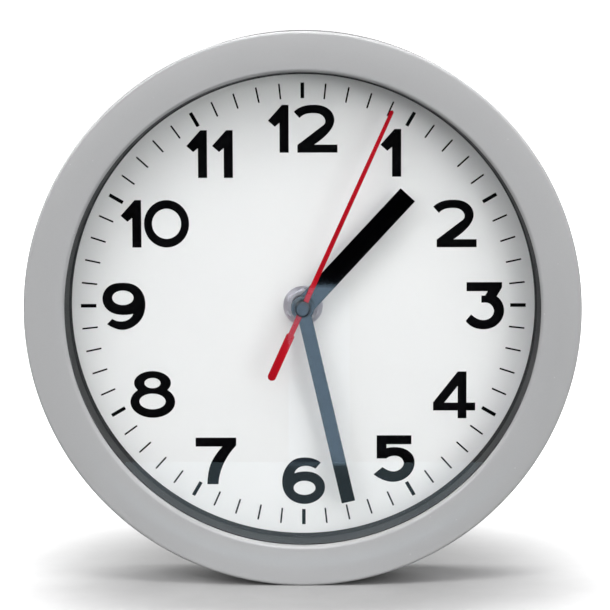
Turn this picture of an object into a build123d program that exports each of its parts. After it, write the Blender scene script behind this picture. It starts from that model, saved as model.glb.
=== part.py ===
from build123d import *
import math
import os

# Round quartz wall clock, 200 mm across, hanging with its back against a wall.
# Millimetres. X is right and Z is up as seen by someone reading the dial, the dial faces -Y,
# the wall is the plane Y = 0 and the origin is where the axis of the hands meets the wall.
# Every sub-part is drawn flat, with x right, y up and z the distance in front of the wall;
# to_frame() then stands it up.

# --- Case ---
CASE_RADIUS = 100.0
SKIRT_THICKNESS = 2.2
SKIRT_DRAFT = 0.4
SKIRT_REAR_Z = 6.0
EDGE_RADIUS = 1.1
FACE_CROWN_Z = 40.0
FACE_EDGE_Z = 39.1
FACE_THICKNESS = 2.0
LIP_RADIUS = 85.5
LIP_ROUNDING = 1.4
LIP_REAR_Z = 36.7
POCKET_RADIUS = 87.6
POCKET_WALL = 1.8
GLASS_THICKNESS = 1.5
GLASS_RADIUS = 87.4
GLASS_CHAMFER = 0.2
RING_OUTER_RADIUS = 87.4
RING_FRONT_RADIUS = 85.4
RING_REAR_RADIUS = 84.7
GASKET_FRONT_Z = 26.0
GASKET_INNER_RADIUS = 84.3

# --- Rear case ---
FLOOR_REAR_Z = 17.8
DIAL_REAR_Z = 20.0
REAR_CASE_RADIUS = 97.1
RIM_THICKNESS = 2.4
RIB_COUNT = 8
RIB_THICKNESS = 1.6
RIB_HEIGHT = 4.0
RIB_START = 31.4
FRAME_INNER_HALF = 28.4
FRAME_WALL = 1.5
FRAME_HEIGHT = 4.8
HANGER_WIDTH = 26.0
HANGER_BOTTOM = 60.0
HANGER_TOP = 87.0
HANGER_REAR_Z = 4.0
HANGER_WALL = 2.0
KEYHOLE_Y = 70.0
KEYHOLE_RADIUS = 4.5
KEYHOLE_SLOT = 4.5
KEYHOLE_RISE = 9.0

# --- Case screws ---
SCREW_CIRCLE = 91.5
SCREW_ANGLES = (45, 135, 225, 315)
SCREW_RADIUS = 1.45
SCREW_REACH = 10.0
PILOT_DEPTH = 11.0
SCREW_HEAD_RADIUS = 2.9
SCREW_HEAD_HEIGHT = 2.2
SCREW_HEAD_ROUNDING = 0.9
SCREW_HOLE_RADIUS = 1.7
SCREW_CROSS_LENGTH = 3.4
SCREW_CROSS_WIDTH = 0.8
SCREW_CROSS_DEPTH = 1.2
BOSS_RADIUS = 3.5

# --- Dial ---
DIAL_RADIUS = 87.9
DIAL_THICKNESS = 0.5
DIAL_HOLE_RADIUS = 4.3
DIAL_Z = DIAL_REAR_Z + DIAL_THICKNESS
INK_THICKNESS = 0.08
TICK_OUTER = 81.05
TICK_INNER = 75.4
MINUTE_TICK_WIDTH = 0.6
HOUR_TICK_WIDTH = 1.3
NUMERAL_HEIGHT = 17.3
ONE_ADVANCE = 9.35
ONE_ZERO_ADVANCE = 8.5

# --- Hand stack ---
BUSH_RADIUS = 4.0
BUSH_BORE = 2.57
BUSH_FRONT_Z = 25.6
BUSH_CHAMFER = 0.4
WASHER_RADIUS = 7.2
WASHER_THICKNESS = 0.6
NUT_ACROSS_FLATS = 11.0
NUT_THICKNESS = 2.2
NUT_CONE_REAR_RADIUS = 7.55
NUT_CONE_FRONT_RADIUS = 5.3
RUBBER_RADIUS = 11.0
HOUR_TUBE_RADIUS = 2.5
HOUR_TUBE_BORE = 1.62
MINUTE_TUBE_RADIUS = 1.55
MINUTE_TUBE_BORE = 0.56
ARBOR_RADIUS = 0.5
HAND_THICKNESS = 0.5
HOUR_HAND_Z = 26.6
MINUTE_HAND_Z = 28.8
SECOND_HAND_Z = 30.9
SECOND_HAND_THICKNESS = 0.4
HOUR_HAND_ANGLE = 42.9
MINUTE_HAND_ANGLE = 167.0
SECOND_HAND_ANGLE = 24.4
HOUR_HAND_LENGTH = 55.8
HOUR_HAND_WIDTH = 7.1
HOUR_EYE_RADIUS = 4.3
HOUR_COLLAR_RADIUS = 3.4
HOUR_COLLAR_HEIGHT = 0.6
HOUR_TUBE_END = 0.2
MINUTE_HAND_LENGTH = 73.0
MINUTE_HAND_WIDTH = 5.0
MINUTE_EYE_RADIUS = 4.2
MINUTE_HUB_RADIUS = 3.4
MINUTE_HUB_HEIGHT = 0.4
MINUTE_COLLAR_RADIUS = 2.8
MINUTE_COLLAR_HEIGHT = 0.8
MINUTE_TUBE_END = 0.5
SECOND_HAND_LENGTH = 78.4
SECOND_HAND_ROOT = 1.9
SECOND_HAND_TIP = 1.4
TAIL_WIDTH = 2.0
TAIL_STEP = 10.4
COUNTERWEIGHT_WIDTH = 3.05
COUNTERWEIGHT_END = 28.6
SECOND_EYE_RADIUS = 2.3
SECOND_COLLAR_RADIUS = 1.1
SECOND_COLLAR_HEIGHT = 0.8
SECOND_ARBOR_END = 0.4
CAP_RADIUS = 2.9
CAP_HEIGHT = 1.5
CAP_ROUNDING = 0.5
CAP_HOLE_DEPTH = 0.5

# --- Movement ---
MOVEMENT_HALF = 28.0
MOVEMENT_WALL = 1.4
MOVEMENT_FRONT_Z = 17.0
PLATE_REAR_Z = 15.8
BATTERY_BAY_REAR_Z = 1.2
COVER_REAR_Z = 3.4
COVER_FRONT_Z = 4.6
COVER_BOTTOM = -10.25
TRAIN_BAY_BOTTOM = -9.7
BATTERY_BAY_TOP = -10.9
PIVOT_RADIUS = 0.35
PIVOT_HOLE = 0.4
PIVOT_HOLE_FLOOR = 0.4
PIVOT_BOSS_RADIUS = 1.5
PIVOT_BOSS_HEIGHT = 0.5
PIVOT_LENGTH = 0.8
SHOULDER_GAP = 0.1

# --- Gear train ---
# Every mesh is named by its wheel; the pinion that turns with it sits in the next mesh.
TOOTH_ADDENDUM = 0.75
TOOTH_DEDENDUM = 1.0
TOOTH_ROOT_SHARE = 0.24
TOOTH_TIP_SHARE = 0.09
MOTION_WHEEL_TEETH = 36
MINUTE_PINION_TEETH = 12
MOTION_MODULE = 0.4
HOUR_WHEEL_TEETH = 40
MOTION_PINION_TEETH = 10
HOUR_MODULE = 0.384
MINUTE_WHEEL_TEETH = 60
THIRD_PINION_TEETH = 8
MINUTE_MODULE = 0.26
THIRD_WHEEL_TEETH = 64
SECOND_PINION_TEETH = 8
SECOND_WHEEL_TEETH = 60
INTERMEDIATE_PINION_TEETH = 12
SECOND_MODULE = 0.24
INTERMEDIATE_WHEEL_TEETH = 60
ROTOR_PINION_TEETH = 10
INTERMEDIATE_MODULE = 0.22
WHEEL_THICKNESS = 0.8
MOTION_BEARING = 150.0
THIRD_BEARING = 0.0
INTERMEDIATE_BEARING = 75.0
ROTOR_BEARING = 40.0

MINUTE_THIRD_DISTANCE = MINUTE_MODULE * (MINUTE_WHEEL_TEETH + THIRD_PINION_TEETH) / 2
THIRD_MODULE = 2 * MINUTE_THIRD_DISTANCE / (THIRD_WHEEL_TEETH + SECOND_PINION_TEETH)

# --- Motor ---
MAGNET_RADIUS = 3.0
MAGNET_Z = (7.9, 11.0)
STATOR_Z = (9.1, 9.9)
STATOR_HOLE_RADIUS = 3.5
CORE_THICKNESS = 0.8
CORE_Y = 22.0
CORE_HALF_WIDTH = 1.5
CORE_LEFT = -9.0
CORE_RIGHT = 21.5
LEG_WIDTH = 3.4
STATOR_BOTTOM = 9.3
STATOR_TOP = 17.4
BOBBIN_LEFT = -4.5
BOBBIN_RIGHT = 16.5
BOBBIN_FLANGE_RADIUS = 4.0
BOBBIN_CORE_RADIUS = 2.2
BOBBIN_FLANGE_THICKNESS = 0.8
WINDING_RADIUS = 3.6

# --- Electronics and battery ---
BOARD_X = (-25.6, -14.0)
BOARD_Y = (-8.6, 25.6)
BOARD_Z = (6.0, 6.8)
CHIP_AT = (-19.8, 14.0)
CHIP_RADIUS = 2.6
CHIP_HEIGHT = 1.1
CHIP_ROUNDING = 0.88
CRYSTAL_AT = (-19.8, 3.0)
CRYSTAL_RADIUS = 1.0
CRYSTAL_LENGTH = 6.0
CELL_RADIUS = 7.1
CELL_ROUNDING = 0.5
CELL_HALF_LENGTH = 24.6
CELL_Y = -18.75
CELL_Z = 8.6
TERMINAL_RADIUS = 2.7
TERMINAL_LENGTH = 1.0
TERMINAL_DISC_RADIUS = 6.2
TERMINAL_DISC_THICKNESS = 0.2
CONTACT_THICKNESS = 0.3
CONTACT_WIDTH = 8.0
SPRING_WIRE_RADIUS = 0.35
SPRING_RADIUS = 3.2
SPRING_TURNS = 2
SPRING_GAP = 0.3
MOTION_ARBOR_RADIUS = 1.0
STEM_RADIUS = 1.5
STEM_HOLE_RADIUS = 1.6
KNOB_RADIUS = 5.0
KNOB_Z = (1.2, 3.1)
KNOB_FLUTES = 18
KNOB_FLUTE_RADIUS = 0.4


def to_frame(shape):
    """Stand a sub-part drawn flat up against the wall, facing -Y."""
    return Rot(90, 0, 0) * shape


def polar(radius, bearing):
    """Point at a radius and an angle in degrees counted anticlockwise from the right."""
    return (radius * math.cos(math.radians(bearing)), radius * math.sin(math.radians(bearing)))


def offset_from(centre, radius, bearing):
    """Point a given distance and direction away from another point."""
    step = polar(radius, bearing)
    return (centre[0] + step[0], centre[1] + step[1])


def disc(radius, rear_z, front_z, centre=(0, 0)):
    """Solid cylinder between two distances from the wall."""
    return Pos(centre[0], centre[1], rear_z) * extrude(Circle(radius), front_z - rear_z)


def tube(outer, inner, rear_z, front_z, centre=(0, 0)):
    """Hollow cylinder between two distances from the wall."""
    return Pos(centre[0], centre[1], rear_z) * extrude(Circle(outer) - Circle(inner), front_z - rear_z)


def block(x_range, y_range, z_range):
    """Box given by its three ranges."""
    middle = [(low + high) / 2 for low, high in (x_range, y_range, z_range)]
    sizes = [high - low for low, high in (x_range, y_range, z_range)]
    return Pos(*middle) * Box(*sizes)


def lathe(edges):
    """Turn a closed (radius, z) outline about the axis of the hands."""
    profile = Rot(90, 0, 0) * make_face(edges)
    return revolve(profile, Axis.Z)


def ring(points):
    """Turn a closed (radius, z) polygon about the axis of the hands."""
    return lathe([Polyline(*points, close=True)])


def tooth_points(count, module, phase):
    """Corner points of straight-flanked teeth, one tooth centred on the phase angle."""
    pitch = 360 / count
    tip = module * (count / 2 + TOOTH_ADDENDUM)
    root = module * (count / 2 - TOOTH_DEDENDUM)
    corners = (
        (root, -TOOTH_ROOT_SHARE),
        (tip, -TOOTH_TIP_SHARE),
        (tip, TOOTH_TIP_SHARE),
        (root, TOOTH_ROOT_SHARE),
    )
    return [
        polar(radius, phase + (tooth + share) * pitch)
        for tooth in range(count)
        for radius, share in corners
    ]


def gear(count, module, phase, rear_z, front_z, centre):
    """Spur gear without a bore."""
    outline = make_face(Polyline(*tooth_points(count, module, phase), close=True))
    return Pos(centre[0], centre[1], rear_z) * extrude(outline, front_z - rear_z)


def gap_phase(count, bearing):
    """Phase that turns a tooth gap towards a bearing."""
    return bearing + 180 / count


def with_pivots(body, rear_z, front_z, centre):
    """Add the thin end pivots of an arbor whose shoulders are at the two distances."""
    rear = disc(PIVOT_RADIUS, rear_z - PIVOT_LENGTH, rear_z, centre)
    front = disc(PIVOT_RADIUS, front_z, front_z + PIVOT_LENGTH, centre)
    return body + rear + front


# Positions of the arbors around the axis of the hands.
CENTRE = (0, 0)
MOTION_AT = polar(MOTION_MODULE * (MOTION_WHEEL_TEETH + MINUTE_PINION_TEETH) / 2, MOTION_BEARING)
THIRD_AT = polar(MINUTE_THIRD_DISTANCE, THIRD_BEARING)
INTERMEDIATE_AT = polar(
    SECOND_MODULE * (SECOND_WHEEL_TEETH + INTERMEDIATE_PINION_TEETH) / 2, INTERMEDIATE_BEARING
)
ROTOR_AT = offset_from(
    INTERMEDIATE_AT,
    INTERMEDIATE_MODULE * (INTERMEDIATE_WHEEL_TEETH + ROTOR_PINION_TEETH) / 2,
    ROTOR_BEARING,
)
REAR_SHOULDER = COVER_FRONT_Z + PIVOT_BOSS_HEIGHT + SHOULDER_GAP
FRONT_SHOULDER = PLATE_REAR_Z - PIVOT_BOSS_HEIGHT - SHOULDER_GAP
HOUR_LEVEL = (14.3, 15.2)
MOTION_LEVEL = (12.6, 13.4)
MINUTE_LEVEL = (11.2, 12.0)
THIRD_LEVEL = (9.4, 10.2)
SECOND_LEVEL = (7.6, 8.4)
INTERMEDIATE_LEVEL = (5.8, 6.6)
PINION_MARGIN = 0.2


# --- Case parts ---

def bezel():
    """Front ring: skirt, gently crowned face, bead round the opening, glass pocket, screw bosses."""
    outer_rear = CASE_RADIUS - SKIRT_DRAFT
    skirt_inner = CASE_RADIUS - SKIRT_THICKNESS
    face_under_z = FACE_EDGE_Z - FACE_THICKNESS
    pocket_outer = POCKET_RADIUS + POCKET_WALL
    bead_start = (LIP_RADIUS + LIP_ROUNDING, FACE_EDGE_Z)
    bead_end = (LIP_RADIUS, FACE_EDGE_Z - LIP_ROUNDING)
    bead_slack = LIP_ROUNDING * (1 - math.sqrt(0.5))
    edge_slack = EDGE_RADIUS * (1 - math.sqrt(0.5))
    face_edge = (CASE_RADIUS - EDGE_RADIUS, FACE_EDGE_Z)
    skirt_edge = (CASE_RADIUS, FACE_EDGE_Z - EDGE_RADIUS)
    outline = [
        Line((outer_rear, SKIRT_REAR_Z), skirt_edge),
        ThreePointArc(skirt_edge, (CASE_RADIUS - edge_slack, FACE_EDGE_Z - edge_slack), face_edge),
        ThreePointArc(face_edge, ((face_edge[0] + bead_start[0]) / 2, FACE_CROWN_Z), bead_start),
        ThreePointArc(bead_start, (LIP_RADIUS + bead_slack, FACE_EDGE_Z - bead_slack), bead_end),
        Polyline(
            bead_end,
            (LIP_RADIUS, LIP_REAR_Z),
            (POCKET_RADIUS, LIP_REAR_Z),
            (POCKET_RADIUS, DIAL_Z),
            (pocket_outer, DIAL_Z),
            (pocket_outer, face_under_z),
            (skirt_inner, face_under_z),
            (skirt_inner - SKIRT_DRAFT, SKIRT_REAR_Z),
            (outer_rear, SKIRT_REAR_Z),
        ),
    ]
    shell = lathe(outline)
    for angle in SCREW_ANGLES:
        shell += disc(BOSS_RADIUS, DIAL_REAR_Z, face_under_z, polar(SCREW_CIRCLE, angle))
    for angle in SCREW_ANGLES:
        pilot_front = DIAL_REAR_Z + PILOT_DEPTH
        shell -= disc(SCREW_RADIUS, DIAL_REAR_Z, pilot_front, polar(SCREW_CIRCLE, angle))
    return shell


def glass_lens():
    """Flat glass held behind the lip of the bezel."""
    rear_z = LIP_REAR_Z - GLASS_THICKNESS
    return chamfer(disc(GLASS_RADIUS, rear_z, LIP_REAR_Z).edges(), GLASS_CHAMFER)


def inner_ring():
    """Slightly tapered ring that keeps the glass and the dial apart."""
    front_z = LIP_REAR_Z - GLASS_THICKNESS
    return ring([
        (RING_REAR_RADIUS, GASKET_FRONT_Z),
        (RING_OUTER_RADIUS, GASKET_FRONT_Z),
        (RING_OUTER_RADIUS, front_z),
        (RING_FRONT_RADIUS, front_z),
    ])


def gasket_ring():
    """Dark cushion ring between the inner ring and the dial."""
    return tube(RING_OUTER_RADIUS, GASKET_INNER_RADIUS, DIAL_Z, GASKET_FRONT_Z)


def keyhole(rear_z, front_z):
    """Cutter for the hanging keyhole: round entry with a slot rising from it."""
    entry = disc(KEYHOLE_RADIUS, rear_z, front_z, (0, KEYHOLE_Y))
    half = KEYHOLE_SLOT / 2
    slot_top = KEYHOLE_Y + KEYHOLE_RISE
    slot = block((-half, half), (KEYHOLE_Y, slot_top), (rear_z, front_z))
    return entry + slot + disc(half, rear_z, front_z, (0, slot_top))


def rear_case():
    """Moulded back: floor behind the dial, rim standing on the wall, ribs, hanger box."""
    body = disc(REAR_CASE_RADIUS, FLOOR_REAR_Z, DIAL_REAR_Z)
    body += tube(REAR_CASE_RADIUS, REAR_CASE_RADIUS - RIM_THICKNESS, 0, FLOOR_REAR_Z)
    rib_z = (FLOOR_REAR_Z - RIB_HEIGHT, FLOOR_REAR_Z)
    rib_end = REAR_CASE_RADIUS - RIM_THICKNESS / 2
    rib = block((RIB_START, rib_end), (-RIB_THICKNESS / 2, RIB_THICKNESS / 2), rib_z)
    for index in range(RIB_COUNT):
        body += Rot(0, 0, (index + 0.5) * 360 / RIB_COUNT) * rib
    inner = (-FRAME_INNER_HALF, FRAME_INNER_HALF)
    outer = (inner[0] - FRAME_WALL, inner[1] + FRAME_WALL)
    frame_z = (FLOOR_REAR_Z - FRAME_HEIGHT, FLOOR_REAR_Z)
    body += block(outer, outer, frame_z) - block(inner, inner, frame_z)
    half = HANGER_WIDTH / 2
    box_x = (-half, half)
    box_y = (HANGER_BOTTOM, HANGER_TOP)
    room_x = (HANGER_WALL - half, half - HANGER_WALL)
    room_y = (HANGER_BOTTOM + HANGER_WALL, HANGER_TOP - HANGER_WALL)
    plate_front = HANGER_REAR_Z + HANGER_WALL
    body += block(box_x, box_y, (HANGER_REAR_Z, FLOOR_REAR_Z))
    body -= block(room_x, room_y, (plate_front, FLOOR_REAR_Z))
    body -= keyhole(HANGER_REAR_Z, plate_front)
    body -= disc(BUSH_RADIUS, FLOOR_REAR_Z, DIAL_REAR_Z)
    for angle in SCREW_ANGLES:
        body -= disc(SCREW_HOLE_RADIUS, FLOOR_REAR_Z, DIAL_REAR_Z, polar(SCREW_CIRCLE, angle))
    return body


def case_screw():
    """Pan-head self-tapping screw, head towards the wall."""
    head_rear = FLOOR_REAR_Z - SCREW_HEAD_HEIGHT
    head = disc(SCREW_HEAD_RADIUS, head_rear, FLOOR_REAR_Z)
    head = fillet(head.edges().sort_by(Axis.Z)[0], SCREW_HEAD_ROUNDING)
    shank = disc(SCREW_RADIUS, FLOOR_REAR_Z, DIAL_REAR_Z + SCREW_REACH)
    long_half = SCREW_CROSS_LENGTH / 2
    thin_half = SCREW_CROSS_WIDTH / 2
    recess_z = (head_rear, head_rear + SCREW_CROSS_DEPTH)
    cross = block((-long_half, long_half), (-thin_half, thin_half), recess_z)
    cross += block((-thin_half, thin_half), (-long_half, long_half), recess_z)
    return head + shank - cross


def case_screws():
    """The four case screws."""
    return [Pos(*polar(SCREW_CIRCLE, angle), 0) * case_screw() for angle in SCREW_ANGLES]


# --- Dial ---

def dial():
    """Printed white sheet with a hole for the threaded bush."""
    return tube(DIAL_RADIUS, DIAL_HOLE_RADIUS, DIAL_REAR_Z, DIAL_Z)


def minute_track():
    """Sixty marks, the hour marks twice as wide."""
    marks = []
    for minute in range(60):
        width = MINUTE_TICK_WIDTH if minute % 5 else HOUR_TICK_WIDTH
        mark = block((TICK_INNER, TICK_OUTER), (-width / 2, width / 2), (DIAL_Z, DIAL_Z + INK_THICKNESS))
        marks.append(Rot(0, 0, 90 - 6 * minute) * mark)
    return marks


def glyph_one():
    """Numeral 1: stem with a slanted flag."""
    stem = Polyline(
        (4.2, 0), (7.5, 0), (7.5, 17.3), (5.1, 17.3), (0, 11.6), (2.5, 9.4), (4.2, 10.8), (4.2, 0)
    )
    return make_face(stem)


def glyph_two():
    """Numeral 2: open bowl running down into the base bar."""
    return make_face([
        Spline(
            (0, 14.8), (2.6, 16.5), (7.2, 17.3), (11.5, 16.5),
            (14.0, 14.3), (14.7, 11.8), (12.8, 7.5), (7.4, 2.9),
        ),
        Polyline((7.4, 2.9), (15.8, 2.9), (15.8, 0), (1.3, 0), (1.3, 2.8), (10.1, 9.5)),
        Spline((10.1, 9.5), (11.4, 11.6), (10.2, 13.5), (6.9, 14.3), (3.9, 13.8), (2.1, 12.5)),
        Line((2.1, 12.5), (0, 14.8)),
    ])


def glyph_three():
    """Numeral 3: flat top bar, short diagonal, open bowl."""
    return make_face([
        Polyline((-0.1, 3.1), (1.9, 5.5)),
        Spline((1.9, 5.5), (3.6, 4.2), (6.6, 3.4), (9.2, 4.5), (10.2, 6.8), (9.0, 9.1), (6.9, 9.8)),
        Polyline((6.9, 9.8), (5.6, 9.8), (5.6, 12.4), (7.0, 12.4), (7.9, 14), (0.2, 14), (0.2, 17.3)),
        Polyline((0.2, 17.3), (13.1, 17.3), (13.1, 15.4), (11.2, 12.1)),
        Spline(
            (11.2, 12.1), (13.2, 9.8), (13.9, 7.0), (13.0, 3.6),
            (10.4, 1.0), (6.5, 0), (2.4, 0.9), (-0.1, 3.1),
        ),
    ])


def glyph_four():
    """Numeral 4: closed triangle on a stem and a cross bar."""
    outer = Polyline(
        (9, 0), (9, 2.9), (0, 2.9), (0, 5.9), (9, 17.3), (12.2, 17.3),
        (12.2, 5.8), (15.4, 5.8), (15.4, 2.9), (12.2, 2.9), (12.2, 0), (9, 0),
    )
    counter = Polyline((9, 12), (9, 5.8), (4.1, 5.8), (9, 12))
    return make_face(outer) - make_face(counter)


def glyph_five():
    """Numeral 5: top bar, square shoulder, open bowl."""
    return make_face([
        Polyline((0, 2.8), (3.3, 5.5)),
        Spline(
            (3.3, 5.5), (5.4, 4.3), (7.6, 3.9), (10.1, 5.0), (11.1, 7.0), (10.0, 9.0), (7.6, 9.7), (4.7, 8.7)
        ),
        Polyline((4.7, 8.7), (1.2, 8.7), (1.2, 17.3), (13.9, 17.3), (13.9, 14), (4.8, 14), (4.8, 12.6)),
        Spline(
            (4.8, 12.6), (8.4, 12.9), (12.4, 11.8), (14.6, 9.5), (15.0, 6.2),
            (13.1, 2.5), (9.7, 0.4), (7.0, 0), (3.4, 0.8), (0, 2.8),
        ),
    ])


def glyph_six():
    """Numeral 6: closed bowl with an open curved stem."""
    outline = make_face([
        Line((12.1, 13.1), (14.1, 15.4)),
        Spline(
            (14.1, 15.4), (11.6, 16.8), (8.4, 17.3), (4.3, 16.5), (1.3, 13.5), (-0.1, 8.0), (1.2, 3.5),
            (4.4, 0.8), (8.4, 0), (12.6, 1.3), (15.1, 4.0),
            (15.5, 7.5), (13.3, 10.7), (8.6, 12.1), (4.4, 11.4),
        ),
        Spline((4.4, 11.4), (5.8, 13.4), (8.8, 14.2), (12.1, 13.1)),
    ])
    return outline - Pos(8.1, 6.0) * Ellipse(4.0, 2.65)


def glyph_seven():
    """Numeral 7: top bar with a curved stem."""
    return make_face([
        Polyline((8.3, 0), (4.2, 0)),
        Spline((4.2, 0), (4.5, 3.5), (5.5, 7.5), (7.4, 11), (9.8, 14)),
        Polyline((9.8, 14), (0, 14), (0, 17.3), (14.9, 17.3), (14.9, 14.4)),
        Spline((14.9, 14.4), (12.5, 11.5), (10.2, 7.5), (8.8, 3.5), (8.3, 0)),
    ])


def glyph_eight():
    """Numeral 8: small oval above a larger one."""
    outline = Pos(8.15, 5.9) * Ellipse(8.2, 5.9) + Pos(8.1, 12.9) * Ellipse(6.75, 4.4)
    return outline - Pos(8.05, 6.05) * Ellipse(4.8, 2.9) - Pos(8.1, 12.85) * Ellipse(2.95, 1.9)


def glyph_nine():
    """Numeral 9: closed bowl with an open curved tail."""
    outline = make_face([
        Line((3.5, 4.1), (1.6, 2.1)),
        Spline(
            (1.6, 2.1), (4.1, 0.7), (7.3, 0), (11.4, 1.3),
            (14.4, 4.3), (15.7, 9.0), (14.7, 13.7), (11.8, 16.5),
            (7.4, 17.3), (3.1, 16.5), (0.5, 13.7), (0.3, 9.8), (2.6, 6.8), (7.0, 5.5), (11.2, 5.9),
        ),
        Spline((11.2, 5.9), (9.6, 3.9), (7.0, 3.1), (3.5, 4.1)),
    ])
    return outline - Pos(7.5, 11.8) * Ellipse(3.9, 2.66)


def glyph_zero():
    """Numeral 0: oval ring."""
    return Pos(8.2, 8.65) * (Ellipse(8.2, 8.65) - Ellipse(5.3, 5.5))


# Lower left corner of every glyph on the dial.
NUMERAL_LAYOUT = (
    (glyph_one, 28.2, 46.9),
    (glyph_two, 47.3, 21.2),
    (glyph_three, 59.3, -8.9),
    (glyph_four, 47.4, -41.7),
    (glyph_five, 25.6, -65.3),
    (glyph_six, -7.8, -73.5),
    (glyph_seven, -39.6, -66.1),
    (glyph_eight, -63.3, -41.4),
    (glyph_nine, -73.2, -8.9),
    (glyph_one, -66.2, 21.3),
    (glyph_zero, -66.2 + ONE_ZERO_ADVANCE, 21.3),
    (glyph_one, -42.1, 46.6),
    (glyph_one, -42.1 + ONE_ADVANCE, 46.6),
    (glyph_one, -12.5, 55.7),
    (glyph_two, -12.5 + ONE_ADVANCE, 55.7),
)


def dial_numerals():
    """Printed hour numerals one to twelve."""
    return [Pos(x, y, DIAL_Z) * extrude(glyph(), INK_THICKNESS) for glyph, x, y in NUMERAL_LAYOUT]


# --- Fixing stack on the bush ---

def rubber_washer():
    """Cushion between the movement and the floor of the case."""
    return tube(RUBBER_RADIUS, BUSH_RADIUS, MOVEMENT_FRONT_Z, FLOOR_REAR_Z)


def metal_washer():
    """Round washer on the dial under the nut."""
    return tube(WASHER_RADIUS, BUSH_RADIUS, DIAL_Z, DIAL_Z + WASHER_THICKNESS)


def hex_nut():
    """Thin hexagon nut with a chamfered front, clamping the dial to the movement."""
    rear_z = DIAL_Z + WASHER_THICKNESS
    corner = NUT_ACROSS_FLATS / 2 / math.cos(math.radians(30))
    nut = Pos(0, 0, rear_z) * extrude(RegularPolygon(corner, 6), NUT_THICKNESS)
    cone = Cone(NUT_CONE_REAR_RADIUS, NUT_CONE_FRONT_RADIUS, NUT_THICKNESS)
    nut &= Pos(0, 0, rear_z + NUT_THICKNESS / 2) * cone
    return nut - disc(BUSH_RADIUS, rear_z, rear_z + NUT_THICKNESS)


# --- Hands ---

def hand(length, width, eye_radius, hole_radius, angle, rear_z):
    """Flat bar hand with a round eye and a square tip, turned clockwise from twelve."""
    outline = Circle(eye_radius) + Pos(0, length / 2) * Rectangle(width, length)
    outline -= Circle(hole_radius)
    return Pos(0, 0, rear_z) * Rot(0, 0, -angle) * extrude(outline, HAND_THICKNESS)


def hour_hand():
    """Hour hand with the collar pressed on the hour tube."""
    blade = hand(
        HOUR_HAND_LENGTH, HOUR_HAND_WIDTH, HOUR_EYE_RADIUS, HOUR_TUBE_RADIUS, HOUR_HAND_ANGLE, HOUR_HAND_Z
    )
    collar_rear = HOUR_HAND_Z - HOUR_COLLAR_HEIGHT
    return blade + tube(HOUR_COLLAR_RADIUS, HOUR_TUBE_RADIUS, collar_rear, HOUR_HAND_Z)


def minute_hand():
    """Minute hand with a stepped hub, pressed on the minute tube."""
    blade = hand(
        MINUTE_HAND_LENGTH,
        MINUTE_HAND_WIDTH,
        MINUTE_EYE_RADIUS,
        MINUTE_TUBE_RADIUS,
        MINUTE_HAND_ANGLE,
        MINUTE_HAND_Z,
    )
    front = MINUTE_HAND_Z + HAND_THICKNESS
    hub = tube(MINUTE_HUB_RADIUS, MINUTE_TUBE_RADIUS, front, front + MINUTE_HUB_HEIGHT)
    collar_rear = MINUTE_HAND_Z - MINUTE_COLLAR_HEIGHT
    return blade + hub + tube(MINUTE_COLLAR_RADIUS, MINUTE_TUBE_RADIUS, collar_rear, MINUTE_HAND_Z)


def second_hand():
    """Thin tapered hand with a counterweight behind the axis."""
    blade = make_face(Polyline(
        (-SECOND_HAND_ROOT / 2, 0),
        (-SECOND_HAND_TIP / 2, SECOND_HAND_LENGTH - SECOND_HAND_TIP / 2),
        (SECOND_HAND_TIP / 2, SECOND_HAND_LENGTH - SECOND_HAND_TIP / 2),
        (SECOND_HAND_ROOT / 2, 0),
        close=True,
    ))
    outline = blade + Pos(0, SECOND_HAND_LENGTH - SECOND_HAND_TIP / 2) * Circle(SECOND_HAND_TIP / 2)
    outline += Pos(0, -TAIL_STEP / 2) * Rectangle(TAIL_WIDTH, TAIL_STEP)
    weight_round = COUNTERWEIGHT_WIDTH / 2
    weight_end = COUNTERWEIGHT_END - weight_round
    weight = Rectangle(COUNTERWEIGHT_WIDTH, weight_end - TAIL_STEP)
    outline += Pos(0, -(TAIL_STEP + weight_end) / 2) * weight
    outline += Pos(0, -weight_end) * Circle(weight_round)
    outline += Circle(SECOND_EYE_RADIUS)
    outline -= Circle(ARBOR_RADIUS)
    plate = extrude(outline, SECOND_HAND_THICKNESS)
    plate = Pos(0, 0, SECOND_HAND_Z) * Rot(0, 0, -SECOND_HAND_ANGLE) * plate
    collar_rear = SECOND_HAND_Z - SECOND_COLLAR_HEIGHT
    return plate + tube(SECOND_COLLAR_RADIUS, ARBOR_RADIUS, collar_rear, SECOND_HAND_Z)


def second_hand_cap():
    """Round cap over the hub of the second hand."""
    rear_z = SECOND_HAND_Z + SECOND_HAND_THICKNESS
    cap = disc(CAP_RADIUS, rear_z, rear_z + CAP_HEIGHT)
    cap = fillet(cap.edges().sort_by(Axis.Z)[-1], CAP_ROUNDING)
    return cap - disc(ARBOR_RADIUS, rear_z, rear_z + CAP_HOLE_DEPTH)


# --- Motion work and train ---

def wheel_and_pinion(at, wheel, pinion, wheel_level, pinion_level):
    """A wheel and a pinion of one piece; wheel and pinion are (teeth, module, phase)."""
    piece = gear(*wheel, *wheel_level, at)
    return piece + gear(*pinion, *pinion_level, at)


def wide(level):
    """Level of a pinion that meshes with a wheel on the given level, a little wider."""
    return (level[0] - PINION_MARGIN, level[1] + PINION_MARGIN)


def hour_wheel():
    """Hour wheel with its tube running in the threaded bush."""
    bearing = MOTION_BEARING
    wheel = gear(HOUR_WHEEL_TEETH, HOUR_MODULE, gap_phase(HOUR_WHEEL_TEETH, bearing), *HOUR_LEVEL, CENTRE)
    front_z = HOUR_HAND_Z + HAND_THICKNESS + HOUR_TUBE_END
    piece = wheel + disc(HOUR_TUBE_RADIUS, HOUR_LEVEL[0], front_z)
    return piece - disc(HOUR_TUBE_BORE, HOUR_LEVEL[0], front_z)


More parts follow.
